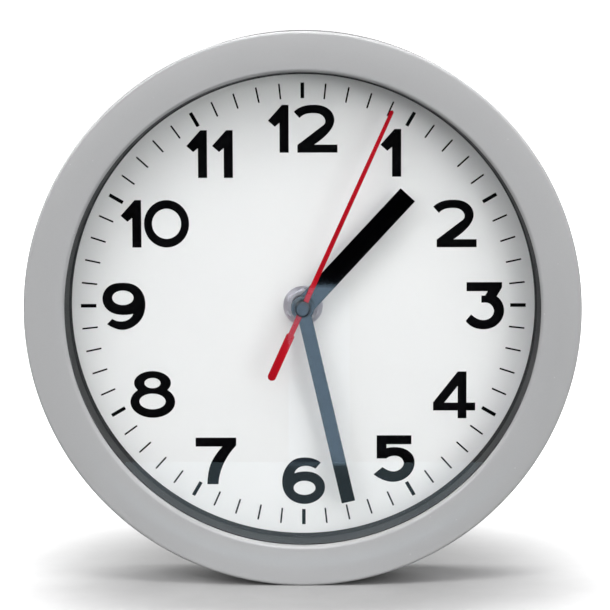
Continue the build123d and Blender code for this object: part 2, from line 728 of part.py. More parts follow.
def minute_wheel():
    """Minute wheel and cannon pinion on one tube."""
    wheel = (MINUTE_WHEEL_TEETH, MINUTE_MODULE, gap_phase(MINUTE_WHEEL_TEETH, THIRD_BEARING))
    pinion = (MINUTE_PINION_TEETH, MOTION_MODULE, MOTION_BEARING)
    piece = wheel_and_pinion(CENTRE, wheel, pinion, MINUTE_LEVEL, wide(MOTION_LEVEL))
    rear_z = MINUTE_LEVEL[0]
    front_z = MINUTE_HAND_Z + HAND_THICKNESS + MINUTE_TUBE_END
    piece += disc(MINUTE_TUBE_RADIUS, rear_z, front_z)
    return piece - disc(MINUTE_TUBE_BORE, rear_z, front_z)


def motion_wheel():
    """Motion wheel and pinion on the stem that carries the setting knob."""
    back = MOTION_BEARING + 180
    wheel = (MOTION_WHEEL_TEETH, MOTION_MODULE, gap_phase(MOTION_WHEEL_TEETH, back))
    pinion = (MOTION_PINION_TEETH, HOUR_MODULE, back)
    piece = wheel_and_pinion(MOTION_AT, wheel, pinion, MOTION_LEVEL, (MOTION_LEVEL[1], HOUR_LEVEL[1]))
    piece += disc(MOTION_ARBOR_RADIUS, REAR_SHOULDER, MOTION_LEVEL[0], MOTION_AT)
    piece += disc(STEM_RADIUS, KNOB_Z[1], REAR_SHOULDER, MOTION_AT)
    return piece + disc(PIVOT_RADIUS, HOUR_LEVEL[1], FRONT_SHOULDER + PIVOT_LENGTH, MOTION_AT)


def setting_knob():
    """Fluted knob for setting the hands."""
    knob = disc(KNOB_RADIUS, *KNOB_Z)
    for flute in range(KNOB_FLUTES):
        knob -= disc(KNOB_FLUTE_RADIUS, *KNOB_Z, polar(KNOB_RADIUS, flute * 360 / KNOB_FLUTES))
    return Pos(*MOTION_AT, 0) * knob


def third_wheel():
    """Third wheel and pinion between the second and the minute arbor."""
    back = THIRD_BEARING + 180
    wheel = (THIRD_WHEEL_TEETH, THIRD_MODULE, gap_phase(THIRD_WHEEL_TEETH, back))
    pinion = (THIRD_PINION_TEETH, MINUTE_MODULE, back)
    piece = wheel_and_pinion(THIRD_AT, wheel, pinion, THIRD_LEVEL, wide(MINUTE_LEVEL))
    piece += disc(ARBOR_RADIUS, REAR_SHOULDER, FRONT_SHOULDER, THIRD_AT)
    return with_pivots(piece, REAR_SHOULDER, FRONT_SHOULDER, THIRD_AT)


def second_wheel():
    """Second wheel and pinion on the arbor that reaches the second hand."""
    wheel = (SECOND_WHEEL_TEETH, SECOND_MODULE, gap_phase(SECOND_WHEEL_TEETH, INTERMEDIATE_BEARING))
    pinion = (SECOND_PINION_TEETH, THIRD_MODULE, THIRD_BEARING)
    piece = wheel_and_pinion(CENTRE, wheel, pinion, SECOND_LEVEL, wide(THIRD_LEVEL))
    front_z = SECOND_HAND_Z + SECOND_HAND_THICKNESS + SECOND_ARBOR_END
    piece += disc(ARBOR_RADIUS, REAR_SHOULDER, front_z)
    return piece + disc(PIVOT_RADIUS, REAR_SHOULDER - PIVOT_LENGTH, REAR_SHOULDER)


def intermediate_wheel():
    """Intermediate wheel and pinion between the rotor and the second wheel."""
    back = INTERMEDIATE_BEARING + 180
    phase = gap_phase(INTERMEDIATE_WHEEL_TEETH, ROTOR_BEARING)
    wheel = (INTERMEDIATE_WHEEL_TEETH, INTERMEDIATE_MODULE, phase)
    pinion = (INTERMEDIATE_PINION_TEETH, SECOND_MODULE, back)
    piece = wheel_and_pinion(INTERMEDIATE_AT, wheel, pinion, INTERMEDIATE_LEVEL, wide(SECOND_LEVEL))
    piece += disc(ARBOR_RADIUS, REAR_SHOULDER, FRONT_SHOULDER, INTERMEDIATE_AT)
    return with_pivots(piece, REAR_SHOULDER, FRONT_SHOULDER, INTERMEDIATE_AT)


def rotor_pinion():
    """Plastic rotor arbor with its pinion."""
    phase = ROTOR_BEARING + 180
    piece = gear(ROTOR_PINION_TEETH, INTERMEDIATE_MODULE, phase, *wide(INTERMEDIATE_LEVEL), ROTOR_AT)
    piece += disc(ARBOR_RADIUS, REAR_SHOULDER, FRONT_SHOULDER, ROTOR_AT)
    return with_pivots(piece, REAR_SHOULDER, FRONT_SHOULDER, ROTOR_AT)


def rotor_magnet():
    """Ring magnet on the rotor arbor."""
    return tube(MAGNET_RADIUS, ARBOR_RADIUS, *MAGNET_Z, ROTOR_AT)


# --- Motor ---

def stator():
    """Flat soft-iron plate round the rotor, with two legs reaching the ends of the coil core."""
    rear_z, front_z = STATOR_Z
    plate = block((CORE_LEFT, CORE_RIGHT), (STATOR_BOTTOM, STATOR_TOP), STATOR_Z)
    legs_y = (STATOR_BOTTOM, CORE_Y + CORE_HALF_WIDTH)
    plate += block((CORE_LEFT, CORE_LEFT + LEG_WIDTH), legs_y, STATOR_Z)
    plate += block((CORE_RIGHT - LEG_WIDTH, CORE_RIGHT), legs_y, STATOR_Z)
    return plate - disc(STATOR_HOLE_RADIUS, rear_z, front_z, ROTOR_AT)


def coil_core():
    """Straight iron bar through the coil, lying on the stator legs."""
    y_range = (CORE_Y - CORE_HALF_WIDTH, CORE_Y + CORE_HALF_WIDTH)
    return block((CORE_LEFT, CORE_RIGHT), y_range, (STATOR_Z[1], STATOR_Z[1] + CORE_THICKNESS))


def coil_cylinder(radius, left, right):
    """Solid cylinder along the coil axis."""
    axis_z = STATOR_Z[1] + CORE_THICKNESS / 2
    return Pos((left + right) / 2, CORE_Y, axis_z) * Rot(0, 90, 0) * Cylinder(radius, right - left)


def coil_bobbin():
    """Flanged plastic former round the core."""
    inner_left = BOBBIN_LEFT + BOBBIN_FLANGE_THICKNESS
    inner_right = BOBBIN_RIGHT - BOBBIN_FLANGE_THICKNESS
    bobbin = coil_cylinder(BOBBIN_CORE_RADIUS, BOBBIN_LEFT, BOBBIN_RIGHT)
    bobbin += coil_cylinder(BOBBIN_FLANGE_RADIUS, BOBBIN_LEFT, inner_left)
    bobbin += coil_cylinder(BOBBIN_FLANGE_RADIUS, inner_right, BOBBIN_RIGHT)
    return bobbin - coil_core()


def coil_winding():
    """Copper winding between the flanges."""
    left = BOBBIN_LEFT + BOBBIN_FLANGE_THICKNESS
    right = BOBBIN_RIGHT - BOBBIN_FLANGE_THICKNESS
    return coil_cylinder(WINDING_RADIUS, left, right) - coil_cylinder(BOBBIN_CORE_RADIUS, left, right)


# --- Electronics, battery and movement case ---

def circuit_board():
    """Small circuit board beside the train."""
    return block(BOARD_X, BOARD_Y, BOARD_Z)


def chip_cover():
    """Resin drop over the clock chip."""
    drop = disc(CHIP_RADIUS, BOARD_Z[1], BOARD_Z[1] + CHIP_HEIGHT, CHIP_AT)
    return fillet(drop.edges().sort_by(Axis.Z)[-1], CHIP_ROUNDING)


def quartz_crystal():
    """Tuning-fork crystal in its metal can, lying on the board."""
    middle = Pos(CRYSTAL_AT[0], CRYSTAL_AT[1], BOARD_Z[1] + CRYSTAL_RADIUS)
    return middle * Rot(90, 0, 0) * Cylinder(CRYSTAL_RADIUS, CRYSTAL_LENGTH)


def cell_cylinder(radius, left, right):
    """Solid cylinder along the battery axis."""
    return Pos((left + right) / 2, CELL_Y, CELL_Z) * Rot(0, 90, 0) * Cylinder(radius, right - left)


def battery_cell():
    """AA cell without its end contacts."""
    body = cell_cylinder(CELL_RADIUS, -CELL_HALF_LENGTH, CELL_HALF_LENGTH)
    return fillet(body.edges().filter_by(GeomType.CIRCLE), CELL_ROUNDING)


def battery_terminals():
    """Raised positive button and flat negative end of the cell."""
    button_end = CELL_HALF_LENGTH + TERMINAL_LENGTH
    negative_end = -CELL_HALF_LENGTH - TERMINAL_DISC_THICKNESS
    return [
        cell_cylinder(TERMINAL_RADIUS, CELL_HALF_LENGTH, button_end),
        cell_cylinder(TERMINAL_DISC_RADIUS, negative_end, -CELL_HALF_LENGTH),
    ]


def contact_plate(outer_x, inner_x):
    """Upright contact strip at one end of the battery bay."""
    half = CONTACT_WIDTH / 2
    return block((outer_x, inner_x), (CELL_Y - half, CELL_Y + half), (CELL_Z - half, PLATE_REAR_Z))


def contact_positive():
    """Flat strip facing the button of the cell."""
    wall = MOVEMENT_HALF - MOVEMENT_WALL
    return contact_plate(wall - CONTACT_THICKNESS, wall)


def contact_negative():
    """Strip with a short coil spring facing the flat end of the cell."""
    wall = MOVEMENT_WALL - MOVEMENT_HALF
    face = wall + CONTACT_THICKNESS
    room = -CELL_HALF_LENGTH - TERMINAL_DISC_THICKNESS - face - SPRING_GAP
    rise = (room - 2 * SPRING_WIRE_RADIUS) / SPRING_TURNS
    path = Helix(rise, rise * SPRING_TURNS, SPRING_RADIUS)
    wire = sweep(Plane(path @ 0, z_dir=path % 0) * Circle(SPRING_WIRE_RADIUS), path)
    spring = Pos(face + SPRING_WIRE_RADIUS, CELL_Y, CELL_Z) * Rot(0, 90, 0) * wire
    return [contact_plate(wall, face), spring]


def movement_case():
    """Moulded front half of the movement with the threaded bush, train bay and battery bay."""
    half = (-MOVEMENT_HALF, MOVEMENT_HALF)
    inside = (MOVEMENT_WALL - MOVEMENT_HALF, MOVEMENT_HALF - MOVEMENT_WALL)
    body = block(half, half, (BATTERY_BAY_REAR_Z, MOVEMENT_FRONT_Z))
    body -= block(half, (COVER_BOTTOM, MOVEMENT_HALF), (BATTERY_BAY_REAR_Z, COVER_FRONT_Z))
    body -= block(inside, (TRAIN_BAY_BOTTOM, inside[1]), (BATTERY_BAY_REAR_Z, PLATE_REAR_Z))
    body -= block(inside, (inside[0], BATTERY_BAY_TOP), (BATTERY_BAY_REAR_Z, PLATE_REAR_Z))
    body += disc(BUSH_RADIUS, MOVEMENT_FRONT_Z, BUSH_FRONT_Z)
    body = chamfer(body.edges().sort_by(Axis.Z)[-1], BUSH_CHAMFER)
    boss_rear = PLATE_REAR_Z - PIVOT_BOSS_HEIGHT
    for at in (THIRD_AT, INTERMEDIATE_AT, ROTOR_AT, MOTION_AT):
        body += disc(PIVOT_BOSS_RADIUS, boss_rear, PLATE_REAR_Z, at)
    for at in (THIRD_AT, INTERMEDIATE_AT, ROTOR_AT, MOTION_AT):
        body -= disc(PIVOT_HOLE, boss_rear, MOVEMENT_FRONT_Z - PIVOT_HOLE_FLOOR, at)
    return body - disc(BUSH_BORE, PLATE_REAR_Z, BUSH_FRONT_Z)


def movement_cover():
    """Rear cover of the train bay with the blind pivot holes and the stem hole."""
    width = (-MOVEMENT_HALF, MOVEMENT_HALF)
    body = block(width, (COVER_BOTTOM, MOVEMENT_HALF), (COVER_REAR_Z, COVER_FRONT_Z))
    boss_front = COVER_FRONT_Z + PIVOT_BOSS_HEIGHT
    for at in (CENTRE, THIRD_AT, INTERMEDIATE_AT, ROTOR_AT):
        body += disc(PIVOT_BOSS_RADIUS, COVER_FRONT_Z, boss_front, at)
        body -= disc(PIVOT_HOLE, COVER_REAR_Z + PIVOT_HOLE_FLOOR, boss_front, at)
    return body - disc(STEM_HOLE_RADIUS, COVER_REAR_Z, COVER_FRONT_Z, MOTION_AT)


NODES = (
    bezel, glass_lens, inner_ring, gasket_ring, rear_case, case_screws,
    dial, minute_track, dial_numerals,
    rubber_washer, metal_washer, hex_nut,
    hour_hand, minute_hand, second_hand, second_hand_cap,
    hour_wheel, minute_wheel, motion_wheel, setting_knob,
    third_wheel, second_wheel, intermediate_wheel, rotor_pinion, rotor_magnet,
    stator, coil_core, coil_bobbin, coil_winding,
    circuit_board, chip_cover, quartz_crystal,
    battery_cell, battery_terminals, contact_positive, contact_negative,
    movement_case, movement_cover,
)


def main():
    """Write one STEP file per sub-part, named after its function."""
    os.makedirs("parts", exist_ok=True)
    for node in NODES:
        pieces = node()
        if not isinstance(pieces, list):
            pieces = [pieces]
        solids = [solid for piece in pieces for solid in to_frame(piece).solids()]
        shape = solids[0] if len(solids) == 1 else Compound(solids)
        export_step(shape, f"parts/{node.__name__}.step")


main()
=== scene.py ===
import math

import bmesh
import bpy
from mathutils import Matrix, Vector


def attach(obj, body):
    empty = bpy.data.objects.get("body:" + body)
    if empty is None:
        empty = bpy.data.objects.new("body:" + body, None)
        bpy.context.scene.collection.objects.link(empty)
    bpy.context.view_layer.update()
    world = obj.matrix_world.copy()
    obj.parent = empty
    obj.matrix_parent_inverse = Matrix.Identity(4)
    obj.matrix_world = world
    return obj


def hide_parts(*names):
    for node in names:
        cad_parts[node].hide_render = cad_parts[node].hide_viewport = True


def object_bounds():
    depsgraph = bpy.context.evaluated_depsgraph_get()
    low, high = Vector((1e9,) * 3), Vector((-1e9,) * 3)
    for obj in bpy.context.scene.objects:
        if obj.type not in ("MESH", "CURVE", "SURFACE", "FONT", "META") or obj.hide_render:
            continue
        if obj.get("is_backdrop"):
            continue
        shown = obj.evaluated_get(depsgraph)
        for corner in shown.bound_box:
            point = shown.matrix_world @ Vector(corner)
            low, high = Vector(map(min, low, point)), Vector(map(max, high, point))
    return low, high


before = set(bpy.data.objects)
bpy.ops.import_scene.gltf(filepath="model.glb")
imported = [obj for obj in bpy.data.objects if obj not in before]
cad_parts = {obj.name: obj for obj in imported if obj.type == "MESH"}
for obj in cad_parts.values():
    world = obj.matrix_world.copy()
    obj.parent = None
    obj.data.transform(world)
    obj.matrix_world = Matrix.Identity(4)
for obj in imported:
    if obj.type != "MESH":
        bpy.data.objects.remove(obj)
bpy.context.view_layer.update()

MM = 0.001

# Sizes in millimetres, as the CAD parts have them or just inside.
# A name that ends in Z is a distance in front of the wall.
CASE_RADIUS = 100.0
EDGE_ROUND = 1.1
FACE_Z = 39.7
FACE_CROWN = 0.2
FACE_STEPS = 24
FACE_REAR_Z = 37.1
LIP_RADIUS = 85.5
LIP_REAR_Z = 36.7
BEAD_ROUND = 1.4
POCKET_RADIUS = 87.6
POCKET_WALL_RADIUS = 89.4
SKIRT_REAR_Z = 6.0
SKIRT_OUTER_RADIUS = 99.6
SKIRT_OUTER_CHAMFER = (0.3, 0.35)
SKIRT_INNER_FRONT_RADIUS = 97.8
SKIRT_INNER_REAR_RADIUS = 97.4
SKIRT_INNER_CHAMFER = (0.2, 0.4)

INSERT_RADIUS = 87.4
GLASS_REAR_Z = 35.2
GLASS_CHAMFER = 0.2
SPACER_REAR_Z = 26.0
SPACER_FOOT_RADIUS = 84.35
SPACER_FOOT_HEIGHT = 0.5
SPACER_REAR_RADIUS = 84.75
SPACER_CHAMFER = 0.1
CUSHION_RADIUS = 84.3
CUSHION_CHAMFER = 0.15
DIAL_REAR_Z = 20.0
DIAL_Z = 20.5
DIAL_RADIUS = 87.9
DIAL_HOLE_RADIUS = 4.3

BUSH_RADIUS = 4.0
WASHER_RADIUS = 7.2
WASHER_FRONT_Z = 21.1
WASHER_REAR_CHAMFER = 0.1
WASHER_FRONT_CHAMFER = 0.15
NUT_FRONT_Z = 23.3
NUT_HALF_WIDTH = 5.5
NUT_CORNER_RADIUS = 6.35
NUT_CHAMFER = (0.75, 0.7)
NUT_BORE_CHAMFER = 0.35
NUT_STEPS = 120
NUT_TURN = 30.0

# Angles of the hands at rest, in degrees clockwise from twelve, as in the photo.
HOUR_ANGLE = 42.9
MINUTE_ANGLE = 167.0
SECOND_ANGLE = 24.4

HAND_THICKNESS = 0.5
HAND_CORNER = 0.15
COLLAR_CHAMFER = 0.1
SINK = 0.02
HOUR_REAR_Z = 26.6
HOUR_HOLE_RADIUS = 2.5
HOUR_COLLAR_REAR_Z = 26.0
HOUR_COLLAR_RADIUS = 3.4
MINUTE_REAR_Z = 28.8
MINUTE_HOLE_RADIUS = 1.55
MINUTE_COLLAR_REAR_Z = 28.0
MINUTE_COLLAR_RADIUS = 2.8
MINUTE_BOSS_RADIUS = 3.45
MINUTE_BOSS_FRONT_Z = 29.7
SECOND_REAR_Z = 30.9
SECOND_FRONT_Z = 31.3
SECOND_HOLE_RADIUS = 0.5
SECOND_COLLAR_REAR_Z = 30.1
SECOND_COLLAR_RADIUS = 1.1
SECOND_BOSS_RADIUS = 2.3
SECOND_TIP_RADIUS = 0.7
SECOND_TIP_CENTRE = 77.7
SECOND_ROOT_HALF_WIDTH = 0.95
SECOND_TAIL_HALF_WIDTH = 1.0
WEIGHT_HALF_WIDTH = 1.525
WEIGHT_END = 28.6
WEIGHT_NECK = (10.3, 10.5)
CAP_FRONT_Z = 32.8
CAP_RADIUS = 2.9
CAP_ROUND = 0.6
CAP_FLAT_RADIUS = CAP_RADIUS - CAP_ROUND
CAP_FLAT_EDGE = 0.15


# ---------------------------------------------------------------- node helpers

class Shade:
    """A node material built up from a Principled shader."""

    def __init__(self, name, **constants):
        self.material = bpy.data.materials.new(name)
        self.material.use_nodes = True
        self.nodes = self.material.node_tree.nodes
        self.links = self.material.node_tree.links
        self.shader = self.nodes["Principled BSDF"]
        for socket, value in constants.items():
            self.shader.inputs[socket.replace("_", " ")].default_value = value
        self.place = self.nodes.new("ShaderNodeTexCoord").outputs["Object"]
        self.normal = None

    def link(self, a, b):
        self.links.new(a, b)

    def math(self, operation, a, b=0.5, c=0.5):
        node = self.nodes.new("ShaderNodeMath")
        node.operation = operation
        for socket, value in zip(node.inputs, (a, b, c)):
            if isinstance(value, (int, float)):
                socket.default_value = value
            else:
                self.link(value, socket)
        return node.outputs[0]

    def noise(self, scale, detail, roughness, stretch=None, distortion=0.0):
        node = self.nodes.new("ShaderNodeTexNoise")
        node.inputs["Scale"].default_value = scale
        node.inputs["Detail"].default_value = detail
        node.inputs["Roughness"].default_value = roughness
        node.inputs["Distortion"].default_value = distortion
        place = self.place
        if stretch:
            mapping = self.nodes.new("ShaderNodeMapping")
            mapping.inputs["Scale"].default_value = stretch
            self.link(place, mapping.inputs["Vector"])
            place = mapping.outputs["Vector"]
        self.link(place, node.inputs["Vector"])
        return node.outputs["Fac"]

    def cells(self, scale, randomness=1.0):
        """Distance to the nearest point of a scatter, for specks and tracks."""
        node = self.nodes.new("ShaderNodeTexVoronoi")
        node.inputs["Scale"].default_value = scale
        node.inputs["Randomness"].default_value = randomness
        self.link(self.place, node.inputs["Vector"])
        return node.outputs["Distance"]

    def split(self):
        """X, Y and Z of the place on the object, in metres."""
        node = self.nodes.new("ShaderNodeSeparateXYZ")
        self.link(self.place, node.inputs[0])
        return node.outputs

    def length(self, a, b):
        """Length of a line that runs a along one direction and b across it."""
        return self.math("SQRT", self.math("MULTIPLY_ADD", a, a, self.math("MULTIPLY", b, b)))

    def ramp(self, value, *stops):
        node = self.nodes.new("ShaderNodeValToRGB")
        ramp = node.color_ramp
        while len(ramp.elements) < len(stops):
            ramp.elements.new(1.0)
        for element, (position, colour) in zip(ramp.elements, stops):
            element.position = position
            element.color = (*colour, 1.0)
        self.link(value, node.inputs["Fac"])
        return node.outputs["Color"]

    def spread(self, value, low, high, new_low, new_high, smooth=False):
        """Stretches the range from low to high onto the range from new_low to new_high."""
        node = self.nodes.new("ShaderNodeMapRange")
        node.interpolation_type = "SMOOTHSTEP" if smooth else "LINEAR"
        for index, number in enumerate((low, high, new_low, new_high)):
            node.inputs[index + 1].default_value = number
        self.link(value, node.inputs[0])
        return node.outputs[0]

    def contrast(self, value, low=0.3, high=0.7):
        """Stretches the middle of a noise onto the range from 0 to 1."""
        return self.spread(value, low, high, 0.0, 1.0)

    def mix(self, factor, a, b):
        """Colour between a and b, each of them a tuple or a socket."""
        node = self.nodes.new("ShaderNodeMix")
        node.data_type = "RGBA"
        self.link(factor, node.inputs["Factor"])
        colours = [s for s in node.inputs if s.type == "RGBA"]
        for socket, value in zip(colours, (a, b)):
            if isinstance(value, tuple):
                socket.default_value = (*value, 1.0)
            else:
                self.link(value, socket)
        return [s for s in node.outputs if s.type == "RGBA"][0]

    def colour(self, value):
        self.link(value, self.shader.inputs["Base Color"])

    def rough(self, value, smoothest, roughest, low=0.3, high=0.7):
        """Roughness that follows a noise."""
        self.link(self.spread(value, low, high, smoothest, roughest), self.shader.inputs["Roughness"])

    def bump(self, height, distance, strength):
        """Adds relief to whatever relief the shader already has; distance is in metres."""
        node = self.nodes.new("ShaderNodeBump")
        node.inputs["Strength"].default_value = strength
        node.inputs["Distance"].default_value = distance
        self.link(height, node.inputs["Height"])
        if self.normal is not None:
            self.link(self.normal, node.inputs["Normal"])
        self.normal = node.outputs["Normal"]
        self.link(self.normal, self.shader.inputs["Normal"])


def tint(colour, factor):
    return tuple(channel * factor for channel in colour)


def satin_paint(name, colour, roughness, flake=0.05):
    """Fine-grained satin paint with faint flow marks, flakes and dust."""
    s = Shade(name, Metallic=0.0, IOR=1.45, Coat_Weight=0.9, Coat_Roughness=0.15, Coat_IOR=1.5)
    cloud = s.noise(scale=9.0, detail=4.0, roughness=0.6)
    grain = s.noise(scale=5200.0, detail=2.0, roughness=0.7)
    base = s.mix(s.contrast(cloud), tint(colour, 0.965), tint(colour, 1.03))
    base = s.mix(s.spread(grain, 0.35, 0.65, 0.0, flake * 4), base, tint(colour, 1.22))
    speck = s.spread(s.cells(scale=210.0), 0.030, 0.045, 1.0, 0.0)
    dust_colour = (0.8, 0.8, 0.8)
    s.colour(s.mix(s.math("MULTIPLY", speck, 0.55), base, dust_colour))
    s.rough(cloud, roughness - 0.04, roughness + 0.05, low=0.25, high=0.75)
    s.bump(s.noise(scale=900.0, detail=2.0, roughness=0.5), distance=0.00003, strength=0.35)
    s.bump(grain, distance=0.00001, strength=0.5)
    return s


def moulded(name, colour, roughness, texture, scale, variation=0.08, ior=1.47):
    """Moulded plastic with a fine spark-eroded grain and slight mottling."""
    s = Shade(name, IOR=ior)
    cloud = s.noise(scale=35.0, detail=4.0, roughness=0.6)
    grain = s.noise(scale=scale, detail=3.0, roughness=0.6)
    s.colour(s.mix(s.contrast(cloud), tint(colour, 1 - variation), tint(colour, 1 + variation)))
    s.rough(grain, roughness - 0.06, roughness + 0.06)
    s.bump(grain, distance=texture, strength=0.6)
    return s


def metal(name, colour, roughness, turned=False):
    """Plated or bright metal with fine turning or drawing lines and light wear."""
    s = Shade(name, Metallic=1.0)
    cloud = s.noise(scale=260.0, detail=4.0, roughness=0.65)
    if turned:
        rings = s.nodes.new("ShaderNodeTexWave")
        rings.wave_type = "BANDS"
        combine = s.nodes.new("ShaderNodeCombineXYZ")
        place = s.split()
        fineness = 9000.0
        s.link(s.math("MULTIPLY", s.length(place["X"], place["Z"]), fineness), combine.inputs["X"])
        s.link(combine.outputs[0], rings.inputs["Vector"])
        rings.inputs["Scale"].default_value = 1.0
        rings.inputs["Distortion"].default_value = 0.6
        lines = rings.outputs["Fac"]
    else:
        lines = s.noise(scale=300.0, detail=2.0, roughness=0.6, stretch=(1.0, 30.0, 30.0))
    s.colour(s.mix(s.contrast(cloud, 0.35, 0.7), tint(colour, 0.86), colour))
    s.rough(cloud, roughness - 0.08, roughness + 0.1)
    s.bump(lines, distance=0.000004, strength=0.5)
    return s


# ---------------------------------------------------------------- mesh helpers

def stand(radial, angle, distance):
    """Point at a radius, an angle clockwise from twelve and a distance in front of the wall."""
    a = math.radians(angle)
    return Vector((radial * math.sin(a) * MM, -distance * MM, radial * math.cos(a) * MM))


def piece(name, bm, shade, body, node, smooth_angle=35.0):
    """Turns a bmesh into a visible piece that rides a body and replaces a CAD node."""
    bmesh.ops.recalc_face_normals(bm, faces=bm.faces)
    mesh = bpy.data.meshes.new(name)
    bm.to_mesh(mesh)
    bm.free()
    obj = bpy.data.objects.new(name, mesh)
    bpy.context.scene.collection.objects.link(obj)
    mesh.polygons.foreach_set("use_smooth", [True] * len(mesh.polygons))
    mesh.set_sharp_from_angle(angle=math.radians(smooth_angle))
    mesh.materials.append(shade.material)
    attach(obj, body)
    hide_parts(node)
    return obj


def arc(centre, radius, start, end, steps):
    """Points of an arc, anticlockwise from the direction of the first coordinate, angles in degrees."""
    return [
        (
            centre[0] + radius * math.cos(math.radians(start + (end - start) * i / steps)),
            centre[1] + radius * math.sin(math.radians(start + (end - start) * i / steps)),
        )
        for i in range(steps + 1)
    ]


def circle(radius, steps=96):
    """Points of a full circle about the axis of the hands."""
    return arc((0.0, 0.0), radius, 0.0, 360.0, steps)[:-1]


def ring(bm, radial, distance, segments, turn=0.0):
    """Circle of vertices about the axis of the hands, or a single vertex on the axis."""
    if radial == 0:
        return [bm.verts.new(stand(0.0, 0.0, distance))]
    return [bm.verts.new(stand(radial, 360.0 * i / segments + turn, distance)) for i in range(segments)]


def join_rings(bm, rings, segments, closed=True):
    """Skins a row of rings with faces, and joins the last to the first if closed."""
    following = rings[1:] + rings[:1] if closed else rings[1:]
    for a, b in zip(rings, following):
        for i in range(segments):
            j = (i + 1) % segments
            corners = []
            for vertex in (a[i % len(a)], a[j % len(a)], b[j % len(b)], b[i % len(b)]):
                if vertex not in corners:
                    corners.append(vertex)
            if len(corners) > 2:
                bm.faces.new(corners)


def revolve(bm, profile, segments, closed=True):
    """Adds a (radius, distance) outline revolved about the axis of the hands to a bmesh."""
    rings = [ring(bm, radial, distance, segments) for radial, distance in profile]
    join_rings(bm, rings, segments, closed)


def lathe(name, profile, shade, body, node, segments=360, closed=True, smooth_angle=35.0):
    """Revolved piece; an outline that starts and ends on the axis is not closed."""
    bm = bmesh.new()
    revolve(bm, profile, segments, closed)
    return piece(name, bm, shade, body, node, smooth_angle)


def plate(name, outlines, rear, front, angle, shade, body, node, bevel=0.12, collars=(), segments=96):
    """Flat plate with rounded edges from closed (x, y) outlines in millimetres, with revolved collars.

    It is turned clockwise about the axis of the hands. The smooth angle is small, so that flats stay flat.
    """
    curve = bpy.data.curves.new(name, "CURVE")
    curve.dimensions = "2D"
    curve.fill_mode = "BOTH"
    for outline in outlines:
        spline = curve.splines.new("POLY")
        spline.points.add(len(outline) - 1)
        for point, (x, y) in zip(spline.points, outline):
            point.co = (x * MM, y * MM, 0.0, 1.0)
        spline.use_cyclic_u = True
    curve.extrude = (front - rear) * MM / 2 - bevel * MM
    curve.bevel_depth = bevel * MM
    curve.offset = -bevel * MM
    curve.bevel_resolution = 3
    carrier = bpy.data.objects.new(name, curve)
    bpy.context.scene.collection.objects.link(carrier)
    mesh = bpy.data.meshes.new_from_object(carrier)
    bpy.data.objects.remove(carrier)
    middle = Matrix.Translation((0, -(front + rear) * MM / 2, 0))
    mesh.transform(middle @ Matrix.Rotation(math.radians(90), 4, "X"))
    mesh.transform(Matrix.Rotation(math.radians(angle), 4, "Y"))
    bm = bmesh.new()
    bm.from_mesh(mesh)
    bmesh.ops.remove_doubles(bm, verts=bm.verts, dist=1e-6)
    for profile in collars:
        revolve(bm, profile, segments)
    return piece(name, bm, shade, body, node, smooth_angle=8.0)


def collar(hole, outer, rear, hand_rear):
    """Outline of the collar behind a hand, sunk slightly into the hand."""
    return [
        (hole, rear), (outer - COLLAR_CHAMFER, rear), (outer, rear + COLLAR_CHAMFER),
        (outer, hand_rear + SINK), (hole, hand_rear + SINK),
    ]


# ---------------------------------------------------------------- materials

def dial_sheet():
    """Matt white printed sheet with a faint paper grain."""
    s = Shade("dial_white", IOR=1.4)
    grain = s.noise(scale=2600.0, detail=3.0, roughness=0.6)
    cloud = s.noise(scale=24.0, detail=3.0, roughness=0.5)
    base = s.mix(s.contrast(cloud, 0.35, 0.65), (0.850, 0.852, 0.856), (0.872, 0.873, 0.875))
    s.colour(s.mix(s.spread(grain, 0.4, 0.65, 0.0, 0.35), base, (0.835, 0.837, 0.842)))
    s.rough(grain, 0.52, 0.62)
    s.bump(grain, distance=0.000012, strength=0.5)
    return s


def ink():
    """Black screen-printing ink with a soft sheen and pinholes."""
    s = Shade("print_black_ink", IOR=1.45, Specular_IOR_Level=0.06)
    pinholes = s.spread(s.cells(scale=1500.0), 0.035, 0.06, 1.0, 0.0)
    cloud = s.noise(scale=120.0, detail=4.0, roughness=0.6)
    base = s.mix(s.contrast(cloud), (0.0005, 0.0005, 0.0008), (0.001, 0.001, 0.0015))
    pinhole_grey = (0.25, 0.25, 0.25)
    s.colour(s.mix(s.math("MULTIPLY", pinholes, 0.10), base, pinhole_grey))
    s.rough(cloud, 0.5, 0.62)
    s.bump(s.noise(scale=2500.0, detail=2.0, roughness=0.6), distance=0.000008, strength=0.5)
    return s


def hand_paint(name, colour, roughness, coat):
    """Sprayed enamel with a glossy clear coat, on stamped aluminium."""
    s = Shade(name, IOR=1.5, Coat_Weight=coat, Coat_Roughness=0.025, Coat_IOR=1.9, Specular_IOR_Level=0.0)
    cloud = s.noise(scale=90.0, detail=4.0, roughness=0.6)
    grain = s.noise(scale=3800.0, detail=2.0, roughness=0.6)
    s.colour(s.mix(s.contrast(cloud), tint(colour, 0.9), tint(colour, 1.12)))
    s.rough(grain, roughness - 0.05, roughness + 0.07)
    s.bump(s.noise(scale=1400.0, detail=2.0, roughness=0.5), distance=0.000006, strength=0.3)
    s.bump(grain, distance=0.000003, strength=0.3)
    return s


def copper_wire():
    """Close turns of enamelled wire round a horizontal coil, with painted shade in the grooves between the
    turns and a painted highlight on their crests.
    """
    s = Shade("coil_copper", Metallic=0.85, Roughness=0.3, Coat_Weight=0.6, Coat_Roughness=0.12)
    radians_per_metre = 42000.0
    turns = s.math("SINE", s.math("MULTIPLY", s.split()["X"], radians_per_metre))
    # The colour runs from painted shade in the grooves between the turns to a painted highlight on their
    # crests.
    painted_groove_shade, flank, painted_crest_highlight = (0.16, 0.045, 0.015), (0.62, 0.22, 0.08), (0.85, 0.38, 0.17)
    s.colour(s.ramp(s.spread(turns, -1.0, 1.0, 0.0, 1.0), (0.0, painted_groove_shade), (0.6, flank), (1.0, painted_crest_highlight)))
    s.bump(turns, distance=0.00004, strength=0.8)
    return s


